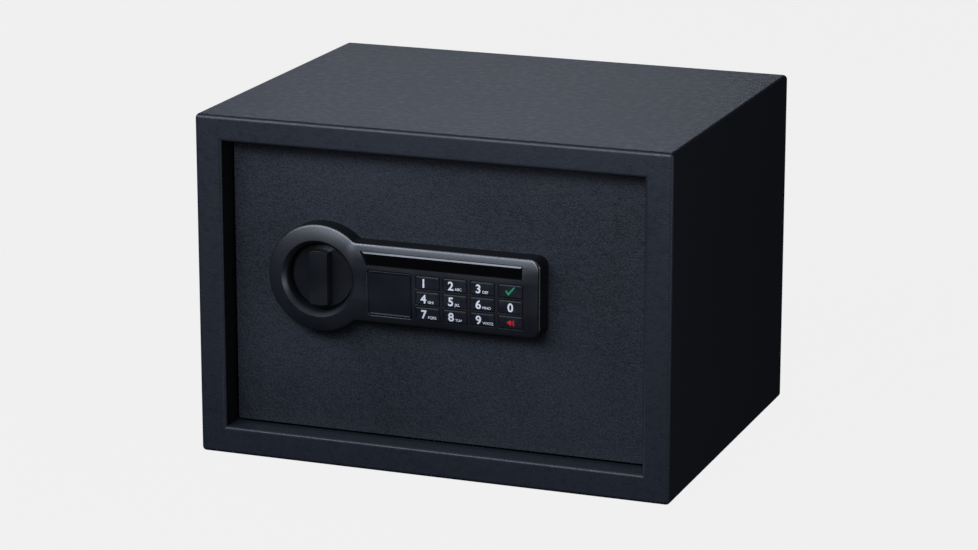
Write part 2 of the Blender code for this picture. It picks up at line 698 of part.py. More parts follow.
def bolt(name, z, flange_x, parent):
    """A round bolt with a chamfered nose, riveted through the carriage flange."""
    tail_radius = 0.0038
    shoulder = flange_x - TOUCH - BOLT_TIP_X
    tail = shoulder + CARRIAGE_THICKNESS + 0.002
    profile = [(0, tail), (tail_radius, tail), (tail_radius, shoulder), (BOLT_RADIUS, shoulder)]
    profile += [(BOLT_RADIUS, 0.0015), (BOLT_RADIUS - 0.0015, 0), (0, 0)]
    return turned(name, (BOLT_TIP_X, BOLT_DEPTH, z), profile, "X", "zinc_steel", parent)


def bolt_guides(door):
    """The angle welded to the door that the bolts run through, and the carriage's shoulder screws."""
    web_x, foot_right, foot_back = (-0.142, -0.139), -0.131, DOOR_BACK + 0.002
    guide_depths, guide_z = (DOOR_BACK + TOUCH, 0.041), (0.070, 0.200)
    guide = block("bolt_guide", (web_x[0], foot_right), guide_depths, guide_z, "zinc_steel", door)
    cut(guide, block("above_foot", (web_x[1], foot_right + 0.01), (foot_back, 0.06), (0.06, 0.21)))
    for z in BOLT_Z:
        start = (web_x[0] - 0.005, BOLT_DEPTH, z)
        cut(guide, rod(f"guide_hole_{z:.3f}", start, 0.013, BOLT_RADIUS + 0.0003, "X"))
    head = BOLT_DEPTH + CARRIAGE_THICKNESS / 2 + 0.0004
    front = DOOR_BACK + TOUCH
    shape = [(0, head + 0.002), (0.0042, head + 0.002), (0.0042, head), (0.0022, head)]
    shape += [(0.0022, front), (0, front)]
    profile = [(radius, along - front) for radius, along in shape]
    for end, z in zip(("lower", "upper"), GUIDE_SCREW_Z):
        turned("guide_screw_" + end, (GUIDE_SCREW_X, front, z), profile, "Y", "zinc_steel", door, 16)


# ---------------------------------------------------------------- solenoid


def solenoid(door):
    """A pull solenoid whose sprung plunger stands behind the carriage's tab when the safe is locked."""
    (low, high), wall = SOLENOID_Z, 0.0015
    x = (KEY_X - 0.012, KEY_X + 0.012)
    depths = (PLUNGER_DEPTH - 0.010, PLUNGER_DEPTH + 0.010)
    frame = block("solenoid_frame", x, depths, SOLENOID_Z, "zinc_steel", door)
    inside_x, inside_z = (x[0] + wall, x[1] - wall), (low + wall, high - wall)
    cut(frame, block("frame_inside", inside_x, (depths[0] - 0.01, depths[1] + 0.01), inside_z))
    cut(frame, rod("frame_bore", (KEY_X, PLUNGER_DEPTH, high - 0.005), 0.010, 0.0044, "Z"))
    coil_low, coil_high = low + wall + TOUCH, high - wall - TOUCH
    bore, outer = 0.0044, 0.0088
    shape = [(outer, coil_high), (outer, coil_low), (bore, coil_low), (bore, coil_high), (outer, coil_high)]
    profile = [(radius, along - coil_low) for radius, along in shape]
    turned("solenoid_coil", (KEY_X, PLUNGER_DEPTH, coil_low), profile, "Z", "coil_copper", door)
    plunger(door)
    plunger_spring(door, high)


def plunger(door):
    pull = pivot("plunger_axis", (KEY_X, at_depth(PLUNGER_DEPTH), PLUNGER_TOP), door)
    base, collar_low, collar_high = 0.0640, 0.0950, 0.0970
    shape = [(0, PLUNGER_TOP), (PLUNGER_RADIUS, PLUNGER_TOP), (PLUNGER_RADIUS, collar_high)]
    shape += [(0.0062, collar_high), (0.0062, collar_low), (PLUNGER_RADIUS, collar_low)]
    shape += [(PLUNGER_RADIUS, base), (0, base)]
    profile = [(radius, along - base) for radius, along in shape]
    body = turned("solenoid_plunger", (KEY_X, PLUNGER_DEPTH, base), profile, "Z", "zinc_steel", pull, 24)
    blade = block("plunger_blade", (KEY_X - 0.0022, KEY_X + 0.0022), (0.0340, 0.0370), (0.100, 0.1140))
    return join(body, blade)


def plunger_spring(door, seat):
    """A compression spring between the solenoid's frame and the plunger's collar."""
    radius, wire, turns, per_turn = 0.0051, 0.00045, 4, 14
    low, high = seat + wire + TOUCH, 0.0950 - wire - TOUCH
    curve = bpy.data.curves.new("plunger_spring", "CURVE")
    curve.dimensions = "3D"
    curve.bevel_depth = wire
    curve.bevel_resolution = 1
    curve.use_fill_caps = True
    count = turns * per_turn
    spline = curve.splines.new("POLY")
    spline.points.add(count)
    for i, point in enumerate(spline.points):
        angle = 2 * math.pi * i / per_turn
        height = low + (high - low) * i / count
        x = KEY_X + radius * math.cos(angle)
        y = at_depth(PLUNGER_DEPTH) + radius * math.sin(angle)
        point.co = (x, y, height, 1)
    drawn = bpy.data.objects.new("spring_route", curve)
    return as_mesh(drawn, "plunger_spring", "zinc_steel", door)


# ---------------------------------------------------------------- inner cover and batteries


def inner_cover(door):
    """The steel pan over the bolt work, with a battery opening, a reset hole and bolt holes."""
    (left, right), (low, high), (front, back) = COVER_X, COVER_Z, COVER_DEPTHS
    pan = block("inner_cover", COVER_X, COVER_DEPTHS, COVER_Z, "cabinet_paint", door)
    round_edges(pan, 0.0025, 3)
    wall = COVER_SHEET
    inside = ((left + wall, right - wall), (front - 0.01, back - wall), (low + wall, high - wall))
    cut(pan, block("pan_inside", *inside))
    cut(pan, block("battery_opening", (0.0415, 0.0985), (back - 0.01, back + 0.01), (0.0945, 0.1535)))
    hole(pan, RESET_X, RESET_Z, RESET_RADIUS + 0.0003, (back - 0.01, back + 0.01), 24)
    for z in BOLT_Z:
        start = (left - 0.005, BOLT_DEPTH, z)
        cut(pan, rod(f"bolt_exit_{z:.3f}", start, 0.010, BOLT_RADIUS + 0.0006, "X"))
    head = [(0, 0.0020), (0.0022, 0.0020), (0.0035, 0.0010), (0.0035, 0), (0, 0)]
    places = [(x, z) for z in (low + 0.008, high - 0.008) for x in (left + 0.008, right - 0.008)]
    for number, (x, z) in enumerate(places, 1):
        turned(f"cover_screw_{number}", (x, back + TOUCH, z), head, "Y", "zinc_steel", door, 16)


def battery_box(door):
    (left, right), (low, high), (front, back) = TRAY_X, TRAY_Z, TRAY_DEPTHS
    wall = 0.0015
    tray = block("battery_tray", TRAY_X, TRAY_DEPTHS, TRAY_Z, "housing_plastic", door)
    inside = ((left + wall, right - wall), (front + wall, back + 0.01), (low + wall, high - wall))
    cut(tray, block("tray_inside", *inside))
    middle_x, middle_z = (left + right) / 2, (low + high) / 2
    depth = front + wall + 0.0004 + CELL_RADIUS
    nub = 0.0013
    for number in range(CELL_COUNT):
        z = middle_z + (number - (CELL_COUNT - 1) / 2) * CELL_PITCH
        length = CELL_LENGTH
        if number % 2:
            profile = [(0, length + nub), (0.0027, length + nub), (0.0027, length)]
            profile += [(CELL_RADIUS, length), (CELL_RADIUS, 0), (0, 0)]
        else:
            profile = [(0, length + nub), (CELL_RADIUS, length + nub), (CELL_RADIUS, nub)]
            profile += [(0.0027, nub), (0.0027, 0), (0, 0)]
        start = (middle_x - (length + nub) / 2, depth, z)
        turned(f"battery_{number + 1}", start, profile, "X", "cell_jacket", door, 24)
    lid_front = COVER_DEPTHS[1] + TOUCH
    slide = pivot("battery_cover_axis", (middle_x, at_depth(lid_front), middle_z), door)
    lid_depths = (lid_front, lid_front + 0.0025)
    lid = block("battery_cover", (0.036, 0.104), lid_depths, (0.088, 0.160), "housing_plastic", slide)
    round_edges(lid, 0.0008)


def reset_button(door):
    press = pivot("reset_press_axis", (RESET_X, at_depth(COVER_DEPTHS[1]), RESET_Z), door)
    front, back = 0.0500, COVER_DEPTHS[1] + 0.0016
    start = (RESET_X, front, RESET_Z)
    cap = rod("reset_button", start, back - front, RESET_RADIUS, "Y", "reset_red", press, 24)
    round_edges(cap, 0.0005)


def leads(door):
    """Wires from the cable hole in the door to the battery box and to the solenoid."""
    battery_route = [
        (0.0300, 0.0180, 0.1290), (0.0300, 0.0240, 0.1290), (0.0305, 0.0285, 0.1300),
        (0.0330, 0.0320, 0.1330), (0.0400, 0.0330, 0.1380), (0.0520, 0.0330, 0.1420),
        (0.0620, 0.0330, 0.1430),
    ]
    lead("battery_lead", battery_route, 0.0011, door)
    solenoid_route = [
        (0.0290, 0.0180, 0.1235), (0.0290, 0.0240, 0.1235), (0.0270, 0.0290, 0.1190),
        (0.0210, 0.0320, 0.1080), (0.0080, 0.0340, 0.0880), (-0.0050, 0.0340, 0.0740),
        (-0.0160, 0.0340, 0.0700),
    ]
    lead("solenoid_lead", solenoid_route, 0.0011, door)


def build():
    clear_scene()
    body_shell()
    back_panel()
    hinge_plates()
    door_stops()
    floor_mat()
    door = pivot("door_hinge_axis", (HINGE_X, at_depth(HINGE_DEPTH), 0))
    door_panel(door)
    hinge_hardware(door)
    lock_bezel(door)
    indicator_window(door)
    keypad_electronics(door)
    buttons(door)
    key_lock(door)
    knob_and_crank(door)
    bolt_carriage(door)
    bolt_guides(door)
    solenoid(door)
    inner_cover(door)
    battery_box(door)
    reset_button(door)
    leads(door)


build()
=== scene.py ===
"""Looks, light and camera for a hotel room safe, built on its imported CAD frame."""

import json
import math

import bmesh
import bpy
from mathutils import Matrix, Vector


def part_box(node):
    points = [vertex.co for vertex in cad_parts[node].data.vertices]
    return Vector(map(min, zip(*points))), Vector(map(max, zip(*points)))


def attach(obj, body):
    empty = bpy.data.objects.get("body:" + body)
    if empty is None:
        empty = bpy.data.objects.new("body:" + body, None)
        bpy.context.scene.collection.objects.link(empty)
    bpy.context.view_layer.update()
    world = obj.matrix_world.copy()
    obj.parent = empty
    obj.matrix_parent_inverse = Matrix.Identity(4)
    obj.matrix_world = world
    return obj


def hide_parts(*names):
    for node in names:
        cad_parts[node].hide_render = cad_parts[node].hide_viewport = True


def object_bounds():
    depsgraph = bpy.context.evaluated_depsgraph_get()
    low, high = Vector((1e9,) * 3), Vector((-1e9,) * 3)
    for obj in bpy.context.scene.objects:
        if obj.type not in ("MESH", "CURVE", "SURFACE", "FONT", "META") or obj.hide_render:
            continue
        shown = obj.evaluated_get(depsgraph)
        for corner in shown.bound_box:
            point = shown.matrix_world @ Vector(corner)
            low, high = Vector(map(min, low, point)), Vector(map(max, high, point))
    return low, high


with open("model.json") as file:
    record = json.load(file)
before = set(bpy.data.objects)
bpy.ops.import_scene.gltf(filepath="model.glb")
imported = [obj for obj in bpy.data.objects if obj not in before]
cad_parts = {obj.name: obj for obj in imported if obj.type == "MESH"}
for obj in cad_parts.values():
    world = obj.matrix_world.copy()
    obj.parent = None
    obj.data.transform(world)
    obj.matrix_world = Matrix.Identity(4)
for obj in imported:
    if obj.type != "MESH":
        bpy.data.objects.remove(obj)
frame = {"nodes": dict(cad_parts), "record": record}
cad_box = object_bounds()

# Camera, in metres and degrees in the object's own frame, and its lens in millimetres
CAMERA_PLACE = (0.8533, -2.2797, 0.7659)
CAMERA_YAW, CAMERA_PITCH = -20.676, -15.035
CAMERA_LENS = 128.16

# Light. Each softbox: name, place, what it points at, width and height, power in watts, colour
COOL, NEUTRAL = (0.87, 0.95, 1.12), (0.94, 1.0, 1.07)
SOFTBOXES = (
    ("front_light", (0.08, -0.66, 0.44), (0.02, -0.13, 0.17), (0.74, 0.30), 1.05, COOL),
    ("top_light", (-0.42, -1.00, 0.88), (0.0, -0.12, 0.16), (1.50, 0.42), 14.0, COOL),
    ("back_light", (-0.46, 1.2, 0.85), (0.0, -0.05, 0.24), (0.75, 0.4), 1.5, COOL),
    ("edge_light", (1.15, -0.62, 0.20), (0.17, -0.13, 0.12), (0.30, 0.34), 2.0, COOL),
    ("rear_light", (-2.0, 1.3, 0.40), (-0.10, 0.10, 0.12), (1.0, 0.6), 18.0, NEUTRAL),
)
ROOM_COLOUR, ROOM_LIGHT = (0.88, 0.94, 1.0), 0.020
BACKDROP_GREY = 0.012
FLOOR_GLOW, WALL_GLOW = 0.865, 0.86
STUDIO_RADIUS = 9.0
FLOOR_LEVEL = -0.0004

# Cabinet, in metres: the roll of the flange's inner edges, and how far back its returns reach
FLANGE_ROLL = 0.0025
RETURN_DEPTH = 0.022
OPENING_X, OPENING_Z = 0.160, (0.012, 0.236)

# Felt mat, in metres: its holes for the anchor bolts, and its nap
MAT_HOLES_X = (-0.100, 0.100)
MAT_HOLE_RADIUS = 0.006
MAT_NAP, MAT_EDGE_DROP = 0.00035, 0.0011
MAT_GRID = (60, 42)

# Colours, as the darkest and lightest that a surface drifts between
CABINET_COLOURS = (0.0120, 0.0142, 0.0200), (0.0185, 0.0215, 0.0290)
# Painted shade: a darker, duller copy of the cabinet paint for the flange's returns round the door
RETURN_SHADE_COLOURS = (0.0020, 0.0023, 0.0030), (0.0032, 0.0037, 0.0048)
DOOR_COLOURS = (0.0040, 0.0047, 0.0066), (0.0340, 0.0393, 0.0520)
PLASTIC_COLOURS = (0.0044, 0.0052, 0.0076), (0.0062, 0.0073, 0.0104)
KNOB_COLOURS = (0.0050, 0.0058, 0.0082), (0.0066, 0.0077, 0.0108)
# Painted shade: a darker, duller copy of the housing plastic for the housing's side walls
SIDE_SHADE_COLOURS = (0.0030, 0.0034, 0.0044), (0.0042, 0.0048, 0.0062)
COVER_COLOURS = (0.0068, 0.0078, 0.0108), (0.0095, 0.0110, 0.0150)

# Lock housing, in metres
PANEL_HALF_HEIGHT = 0.0281
PANEL_CORNER = 0.0070
PANEL_FILLET = 0.0060
LOW_EDGE_SHARE = 0.90
EDGE_START = 0.0030
# The pillowed face: inset of the outline and of its right end, then how far the panel and the ring
# lie behind the foremost plane
HOUSING_SLOPE = (
    (0.0000, 0.0000, 0.0157, 0.0157),
    (0.0001, 0.0010, 0.0041, 0.0047),
    (0.0003, 0.0012, 0.0034, 0.0039),
    (0.0006, 0.0014, 0.0030, 0.0035),
    (0.0010, 0.0018, 0.0027, 0.0032),
    (0.0016, 0.0020, 0.0024, 0.0029),
    (0.0025, 0.0020, 0.0021, 0.0026),
    (0.0040, 0.0020, 0.0017, 0.0021),
    (0.0060, 0.0020, 0.0013, 0.0015),
    (0.0090, 0.0020, 0.0008, 0.0008),
    (0.0120, 0.0020, 0.0004, 0.0004),
    (0.0160, 0.0020, 0.0001, 0.0001),
    (0.0180, 0.0020, 0.0000, 0.0000),
)
# The knob's well, a cone down to a plain bore: radius, distance behind the foremost plane
WELL_PROFILE = (
    (0.0285, -0.0012), (0.0275, 0.0004), (0.0270, 0.0010), (0.0263, 0.0018), (0.0252, 0.0031),
    (0.0246, 0.0042), (0.0243, 0.0054), (0.0243, 0.0140),
)
# Where the ring gives way to the panel, right of the knob's middle
BLEND_START, BLEND_END = 0.022, 0.040
# Level strips that a piece is cut into so that its front can follow the panel
STRIP_HEIGHT = 0.002
# The window's opening: how far its outline is grown, distance behind the foremost plane
WINDOW_OPENING = ((0.0003, 0.0034), (0.0003, 0.0009), (0.0007, 0.0001), (0.0009, -0.0003))
# Inset and distance behind the foremost plane, for the window's pane and the key cover
PANE_PROFILE = ((0.0, 0.0030), (0.0, 0.0013), (0.0011, 0.0010))
COVER_PROFILE = (
    (0.0, 0.0009), (0.0002, 0.0004), (0.0005, 0.0002), (0.0009, 0.0002), (0.0012, 0.0004),
    (0.0015, 0.0007), (0.0019, 0.0008),
)
# Inset and distance behind a key's front
KEY_PROFILE = ((0.0, 0.0012), (0.00015, 0.0007), (0.0004, 0.0003), (0.0008, 0.00008), (0.0014, 0.0))

# Printing, in metres: heights of the digits and letters, and their share of the typeface's size
DIGIT_HEIGHT, LETTER_HEIGHT = 0.0062, 0.0019
CAPITAL_SHARE = 0.729
DIGIT_BOLD, LETTER_BOLD = 0.00020, 0.00004

FRONT = cad_box[0].y
KNOB_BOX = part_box("knob")
KNOB_CENTRE = (KNOB_BOX[0] + KNOB_BOX[1]) / 2
HOUSING_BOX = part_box("lock_bezel")
RING_RADIUS = KNOB_CENTRE.x - HOUSING_BOX[0].x
FACE = HOUSING_BOX[0].y - FRONT
OUTSIDE = FACE - 0.0030
BUTTONS = sorted(name for name in frame["nodes"] if name.startswith("button_"))

LEGENDS = {
    "1": "", "2": "ABC", "3": "DEF", "4": "GHI", "5": "JKL",
    "6": "MNO", "7": "PQRS", "8": "TUV", "9": "WXYZ", "0": "",
}


# ---------------------------------------------------------------- material helpers


def new_material(name, colour, roughness, metallic=0.0, specular=0.5):
    made = bpy.data.materials.new(name)
    made.use_nodes = True
    shader = made.node_tree.nodes["Principled BSDF"]
    shader.inputs["Base Color"].default_value = (*colour, 1.0)
    shader.inputs["Roughness"].default_value = roughness
    shader.inputs["Metallic"].default_value = metallic
    shader.inputs["Specular IOR Level"].default_value = specular
    return made


class Graph:
    """Short calls for the nodes that the materials here are made of."""

    def __init__(self, made):
        self.tree = made.node_tree
        self.shader = self.tree.nodes["Principled BSDF"]
        self.place = self.tree.nodes.new("ShaderNodeTexCoord").outputs["Object"]

    def link(self, source, target):
        self.tree.links.new(source, target)

    def stretched(self, scale):
        mapping = self.tree.nodes.new("ShaderNodeMapping")
        mapping.inputs["Scale"].default_value = scale
        self.link(self.place, mapping.inputs["Vector"])
        return mapping.outputs["Vector"]

    def noise(self, scale, detail=2.0, roughness=0.5, place=None):
        node = self.tree.nodes.new("ShaderNodeTexNoise")
        node.inputs["Scale"].default_value = scale
        node.inputs["Detail"].default_value = detail
        node.inputs["Roughness"].default_value = roughness
        self.link(place or self.place, node.inputs["Vector"])
        return node.outputs["Fac"]

    def cells(self, scale, place=None):
        node = self.tree.nodes.new("ShaderNodeTexVoronoi")
        node.feature = "SMOOTH_F1"
        node.inputs["Scale"].default_value = scale
        self.link(place or self.place, node.inputs["Vector"])
        return node.outputs["Distance"]

    def bands(self, scale, direction, place=None):
        node = self.tree.nodes.new("ShaderNodeTexWave")
        node.bands_direction = direction
        node.inputs["Scale"].default_value = scale
        self.link(place or self.place, node.inputs["Vector"])
        return node.outputs["Fac"]

    def spread(self, value, low, high, start=0.3, end=0.7):
        """Maps a 0 to 1 pattern to a range of values."""
        node = self.tree.nodes.new("ShaderNodeMapRange")
        for socket, amount in zip(("From Min", "From Max", "To Min", "To Max"), (start, end, low, high)):
            node.inputs[socket].default_value = amount
        self.link(value, node.inputs["Value"])
        return node.outputs["Result"]

    def blend(self, factor, first, second):
        node = self.tree.nodes.new("ShaderNodeMix")
        node.data_type = "RGBA"
        node.inputs["A"].default_value = (*first, 1.0)
        node.inputs["B"].default_value = (*second, 1.0)
        self.link(factor, node.inputs["Factor"])
        return node.outputs["Result"]

    def add(self, first, second, weight=0.5):
        node = self.tree.nodes.new("ShaderNodeMath")
        node.operation = "MULTIPLY_ADD"
        node.inputs[1].default_value = weight
        self.link(second, node.inputs[0])
        self.link(first, node.inputs[2])
        return node.outputs["Value"]

    def colour(self, factor, first, second):
        self.link(self.blend(factor, first, second), self.shader.inputs["Base Color"])

    def roughness(self, pattern, low, high):
        self.link(self.spread(pattern, low, high), self.shader.inputs["Roughness"])

    def bump(self, height, strength, distance):
        node = self.tree.nodes.new("ShaderNodeBump")
        node.inputs["Strength"].default_value = strength
        node.inputs["Distance"].default_value = distance
        self.link(height, node.inputs["Height"])
        self.link(node.outputs["Normal"], self.shader.inputs["Normal"])


# ---------------------------------------------------------------- materials


def powder_coat(name, dark, light, grain, strength, satin, specular=0.5):
    """Baked powder paint: an orange-peel skin with a finer grain on it."""
    made = new_material(name, dark, satin, specular=specular)
    graph = Graph(made)
    fine = graph.noise(grain, 3.0, 0.6)
    peel = graph.noise(grain / 4, 2.0, 0.5)
    cloud = graph.noise(9.0, 3.0, 0.55)
    graph.colour(graph.spread(graph.add(fine, cloud, 0.35), 0.0, 1.0, 0.45, 0.95), dark, light)
    graph.roughness(graph.add(peel, cloud, 0.3), satin, satin + 0.12)
    graph.bump(graph.add(fine, peel, 0.9), strength, 0.00025)
    return made


def moulded_plastic(name, dark, light, roughness, specular=0.4):
    """Injection moulded plastic with a fine spark-eroded texture."""
    made = new_material(name, dark, roughness, specular=specular)
    graph = Graph(made)
    speckle = graph.noise(1600.0, 3.0, 0.65)
    drift = graph.noise(35.0, 2.0, 0.5)
    graph.colour(graph.spread(drift, 0.0, 1.0), dark, light)
    graph.roughness(graph.add(drift, speckle, 0.3), roughness - 0.05, roughness + 0.08)
    graph.bump(speckle, 0.20, 0.00009)
    return made


def glossy_acrylic():
    made = new_material("window_acrylic", (0.0015, 0.0015, 0.0018), 0.07, specular=0.5)
    graph = Graph(made)
    graph.roughness(graph.noise(220.0, 4.0, 0.6), 0.05, 0.14)
    return made


def keypad_rubber():
    made = new_material("button_rubber", (0.012, 0.013, 0.017), 0.5, specular=0.35)
    graph = Graph(made)
    grain = graph.noise(3200.0, 2.0, 0.6)
    wear = graph.noise(120.0, 3.0, 0.5)
    graph.colour(graph.spread(wear, 0.0, 1.0), (0.0065, 0.0075, 0.0105), (0.0105, 0.0120, 0.0160))
    graph.roughness(wear, 0.42, 0.58)
    graph.bump(grain, 0.10, 0.00006)
    return made


def zinc_plate():
    made = new_material("zinc_steel", (0.60, 0.60, 0.58), 0.32, metallic=1.0)
    graph = Graph(made)
    drawn = graph.noise(900.0, 3.0, 0.6, graph.stretched((1.0, 1.0, 0.06)))
    spangle = graph.cells(160.0)
    graph.colour(graph.spread(spangle, 0.0, 1.0, 0.1, 0.9), (0.66, 0.66, 0.65), (0.50, 0.51, 0.50))
    graph.roughness(graph.add(drawn, spangle, 0.3), 0.24, 0.42)
    graph.bump(drawn, 0.10, 0.00006)
    return made


def turned_brass():
    made = new_material("brass", (0.70, 0.52, 0.22), 0.3, metallic=1.0)
    graph = Graph(made)
    marks = graph.noise(1500.0, 2.0, 0.5)
    graph.colour(graph.spread(graph.noise(150.0), 0.0, 1.0), (0.62, 0.45, 0.18), (0.74, 0.57, 0.27))
    graph.roughness(marks, 0.22, 0.40)
    graph.bump(marks, 0.08, 0.00004)
    return made


def needle_felt():
    made = new_material("mat_felt", (0.045, 0.045, 0.050), 0.95, specular=0.15)
    graph = Graph(made)
    fibres = graph.noise(1400.0, 4.0, 0.75)
    tufts = graph.noise(160.0, 3.0, 0.6)
    mottle = graph.spread(graph.add(fibres, tufts, 0.5), 0.0, 1.0, 0.5, 1.0)
    graph.colour(mottle, (0.022, 0.022, 0.026), (0.075, 0.075, 0.082))
    graph.bump(graph.add(fibres, tufts, 0.8), 0.6, 0.0006)
    made.node_tree.nodes["Principled BSDF"].inputs["Sheen Weight"].default_value = 0.35
    return made


def solder_mask():
    made = new_material("board_green", (0.020, 0.110, 0.050), 0.45)
    graph = Graph(made)
    tracks = graph.bands(180.0, "X")
    on_track = graph.spread(tracks, 0.0, 1.0, 0.45, 0.55)
    graph.colour(on_track, (0.014, 0.085, 0.038), (0.030, 0.150, 0.070))
    graph.bump(tracks, 0.15, 0.00005)
    return made


def wound_copper():
    made = new_material("coil_copper", (0.50, 0.20, 0.08), 0.35, metallic=0.7)
    graph = Graph(made)
    turns = graph.bands(620.0, "Z")
    graph.colour(graph.spread(turns, 0.0, 1.0, 0.0, 1.0), (0.22, 0.08, 0.03), (0.58, 0.25, 0.10))
    graph.bump(turns, 0.8, 0.0003)
    return made


def cell_jacket():
    """A printed film sleeve, grey with a paler band at one end."""
    made = new_material("cell_jacket", (0.06, 0.07, 0.09), 0.3)
    graph = Graph(made)
    split = graph.tree.nodes.new("ShaderNodeSeparateXYZ")
    graph.link(graph.place, split.inputs["Vector"])
    low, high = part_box("battery_1")
    middle = (low.x + high.x) / 2
    band = graph.spread(split.outputs["X"], 0.0, 1.0, middle + 0.009, middle + 0.0095)
    graph.colour(band, (0.045, 0.055, 0.075), (0.42, 0.43, 0.45))
    graph.roughness(graph.noise(300.0), 0.22, 0.36)
    return made


def plain_plastic(name, colour, roughness):
    made = new_material(name, colour, roughness)
    graph = Graph(made)
    drift = graph.noise(400.0, 3.0, 0.6)
    graph.colour(graph.spread(drift, 0.0, 1.0), tuple(0.88 * c for c in colour), colour)
    graph.roughness(drift, roughness - 0.05, roughness + 0.08)
    return made


def printed_ink(name, colour):
    """Screen-printed ink, slightly uneven."""
    made = new_material(name, colour, 0.5, specular=0.3)
    graph = Graph(made)
    cover = graph.noise(1800.0, 3.0, 0.6)
    graph.colour(graph.spread(cover, 0.0, 1.0), tuple(0.86 * c for c in colour), colour)
    graph.roughness(cover, 0.42, 0.60)
    return made


def make_materials():
    return {
        "cabinet_paint": powder_coat("cabinet_paint", *CABINET_COLOURS, 700.0, 0.55, 0.36),
        # painted shade on the flange's returns round the door
        "return_shade_paint": powder_coat("return_shade_paint", *RETURN_SHADE_COLOURS, 700.0, 0.55, 0.60, 0.15),
        "door_paint": powder_coat("door_paint", *DOOR_COLOURS, 780.0, 0.9, 0.39),
        "housing_plastic": moulded_plastic("housing_plastic", *PLASTIC_COLOURS, 0.33, 1.0),
        "knob_plastic": moulded_plastic("knob_plastic", *KNOB_COLOURS, 0.28, 1.0),
        # painted shade on the housing's side walls
        "housing_side_shade": moulded_plastic("housing_side_shade", *SIDE_SHADE_COLOURS, 0.62, 0.25),
        "cover_plastic": moulded_plastic("cover_plastic", *COVER_COLOURS, 0.40, 0.25),
        "window_acrylic": glossy_acrylic(),
        "button_rubber": keypad_rubber(),
        "zinc_steel": zinc_plate(),
        "brass": turned_brass(),
        "mat_felt": needle_felt(),
        "board_green": solder_mask(),
        "coil_copper": wound_copper(),
        "cell_jacket": cell_jacket(),
        "reset_red": plain_plastic("reset_red", (0.55, 0.02, 0.02), 0.32),
        "lead_black": plain_plastic("lead_black", (0.014, 0.014, 0.015), 0.45),
        "white_ink": printed_ink("white_ink", (0.86, 0.87, 0.88)),
        "green_ink": printed_ink("green_ink", (0.02, 0.34, 0.13)),
        "red_ink": printed_ink("red_ink", (0.70, 0.03, 0.04)),
    }


def paint_frame(materials):
    """Every CAD node but the knob takes its record slot's material, the knob its own plastic; all get
    smooth shading with sharp folds.
    """
    for part in frame["record"]["subparts"]:
        node = frame["nodes"][part["node"]]
        is_knob = part["node"] == "knob"
        node.data.materials.clear()
        node.data.materials.append(materials["knob_plastic" if is_knob else part["material_slot"]])
        smooth_between_folds(node, 0.0012 if is_knob else 0.0)


def smooth_between_folds(node, rounding, angle=32):
    """A CAD node comes as loose triangles: these are joined, then split again at the sharp folds."""
    if "custom_normal" in node.data.attributes:
        node.data.attributes.remove(node.data.attributes["custom_normal"])
    node.data.shade_smooth()
    node.modifiers.new("joined", "WELD").merge_threshold = 0.000002
    if rounding:
        soften(node, rounding, 3, 50)
    node.modifiers.new("folds", "EDGE_SPLIT").split_angle = math.radians(angle)
    even_shading(node)


# ---------------------------------------------------------------- shape helpers


def at(x, depth, z):
    """A point at this distance behind the plane of the cabinet's front."""
    return Vector((x, FRONT + depth, z))


def arc(centre, radius, start, end, count):
    """Points from one angle to another, in degrees anticlockwise from +X in the X-Z plane."""
    angles = [math.radians(start + (end - start) * i / count) for i in range(count + 1)]
    return [(centre[0] + radius * math.cos(a), centre[1] + radius * math.sin(a)) for a in angles]


def rounded_rectangle(x, z, radius, count=6):
    corners = (
        ((x[1] - radius, z[1] - radius), 0),
        ((x[0] + radius, z[1] - radius), 90),
        ((x[0] + radius, z[0] + radius), 180),
        ((x[1] - radius, z[0] + radius), 270),
    )
    return [p for centre, start in corners for p in arc(centre, radius, start, start + 90, count)]


def inset_outline(node, inset, corner):
    """A node's outline seen from the front, moved inwards and with its corners rounded."""
    low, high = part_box(node)
    corner = max(corner - inset, 0.0003)
    return rounded_rectangle((low.x + inset, high.x - inset), (low.z + inset, high.z - inset), corner)


def loft(name, sections):
    """A closed solid through sections from back to front, each (outline of (x, z), depth)."""
    shape = bmesh.new()
    loops = [[shape.verts.new(at(x, depth, z)) for x, z in outline] for outline, depth in sections]
    for first, second in zip(loops, loops[1:]):
        for i in range(len(first)):
            j = (i + 1) % len(first)
            shape.faces.new((first[i], first[j], second[j], second[i]))
    shape.faces.new(loops[0])
    shape.faces.new(reversed(loops[-1]))
    bmesh.ops.recalc_face_normals(shape, faces=shape.faces)
    return as_object(shape, name)


def as_object(shape, name):
    mesh = bpy.data.meshes.new(name)
    shape.to_mesh(mesh)
    shape.free()
    return in_scene(bpy.data.objects.new(name, mesh))


def in_scene(obj):
    bpy.context.scene.collection.objects.link(obj)
    return obj


def bake(obj):
    """Applies an object's modifiers."""
    bpy.context.view_layer.update()
    graph = bpy.context.evaluated_depsgraph_get()
    mesh = bpy.data.meshes.new_from_object(obj.evaluated_get(graph))
    obj.modifiers.clear()
    obj.data = mesh
    return obj


def settle(obj, angle=32):
    """Applies an object's modifiers, then shades it smooth between its sharp edges."""
    bake(obj)
    obj.data.shade_smooth()
    obj.data.set_sharp_from_angle(angle=math.radians(angle))
    return even_shading(obj)


def carve(obj, cutters):
    for cutter in cutters:
        step = obj.modifiers.new("cut", "BOOLEAN")
        step.object = cutter
        step.solver = "EXACT"
    bake(obj)
    for cutter in cutters:
        bpy.data.objects.remove(cutter)
    return obj


def even_shading(obj):
    """Keeps the broad faces flat to the eye beside their small rounded edges."""
    normals = obj.modifiers.new("even_shading", "WEIGHTED_NORMAL")
    normals.keep_sharp = True
    return obj


def soften(obj, width, segments=2, angle=35):
    bevel = obj.modifiers.new("soften", "BEVEL")
    bevel.width = width
    bevel.segments = segments
    bevel.limit_method = "ANGLE"
    bevel.angle_limit = math.radians(angle)
    return obj


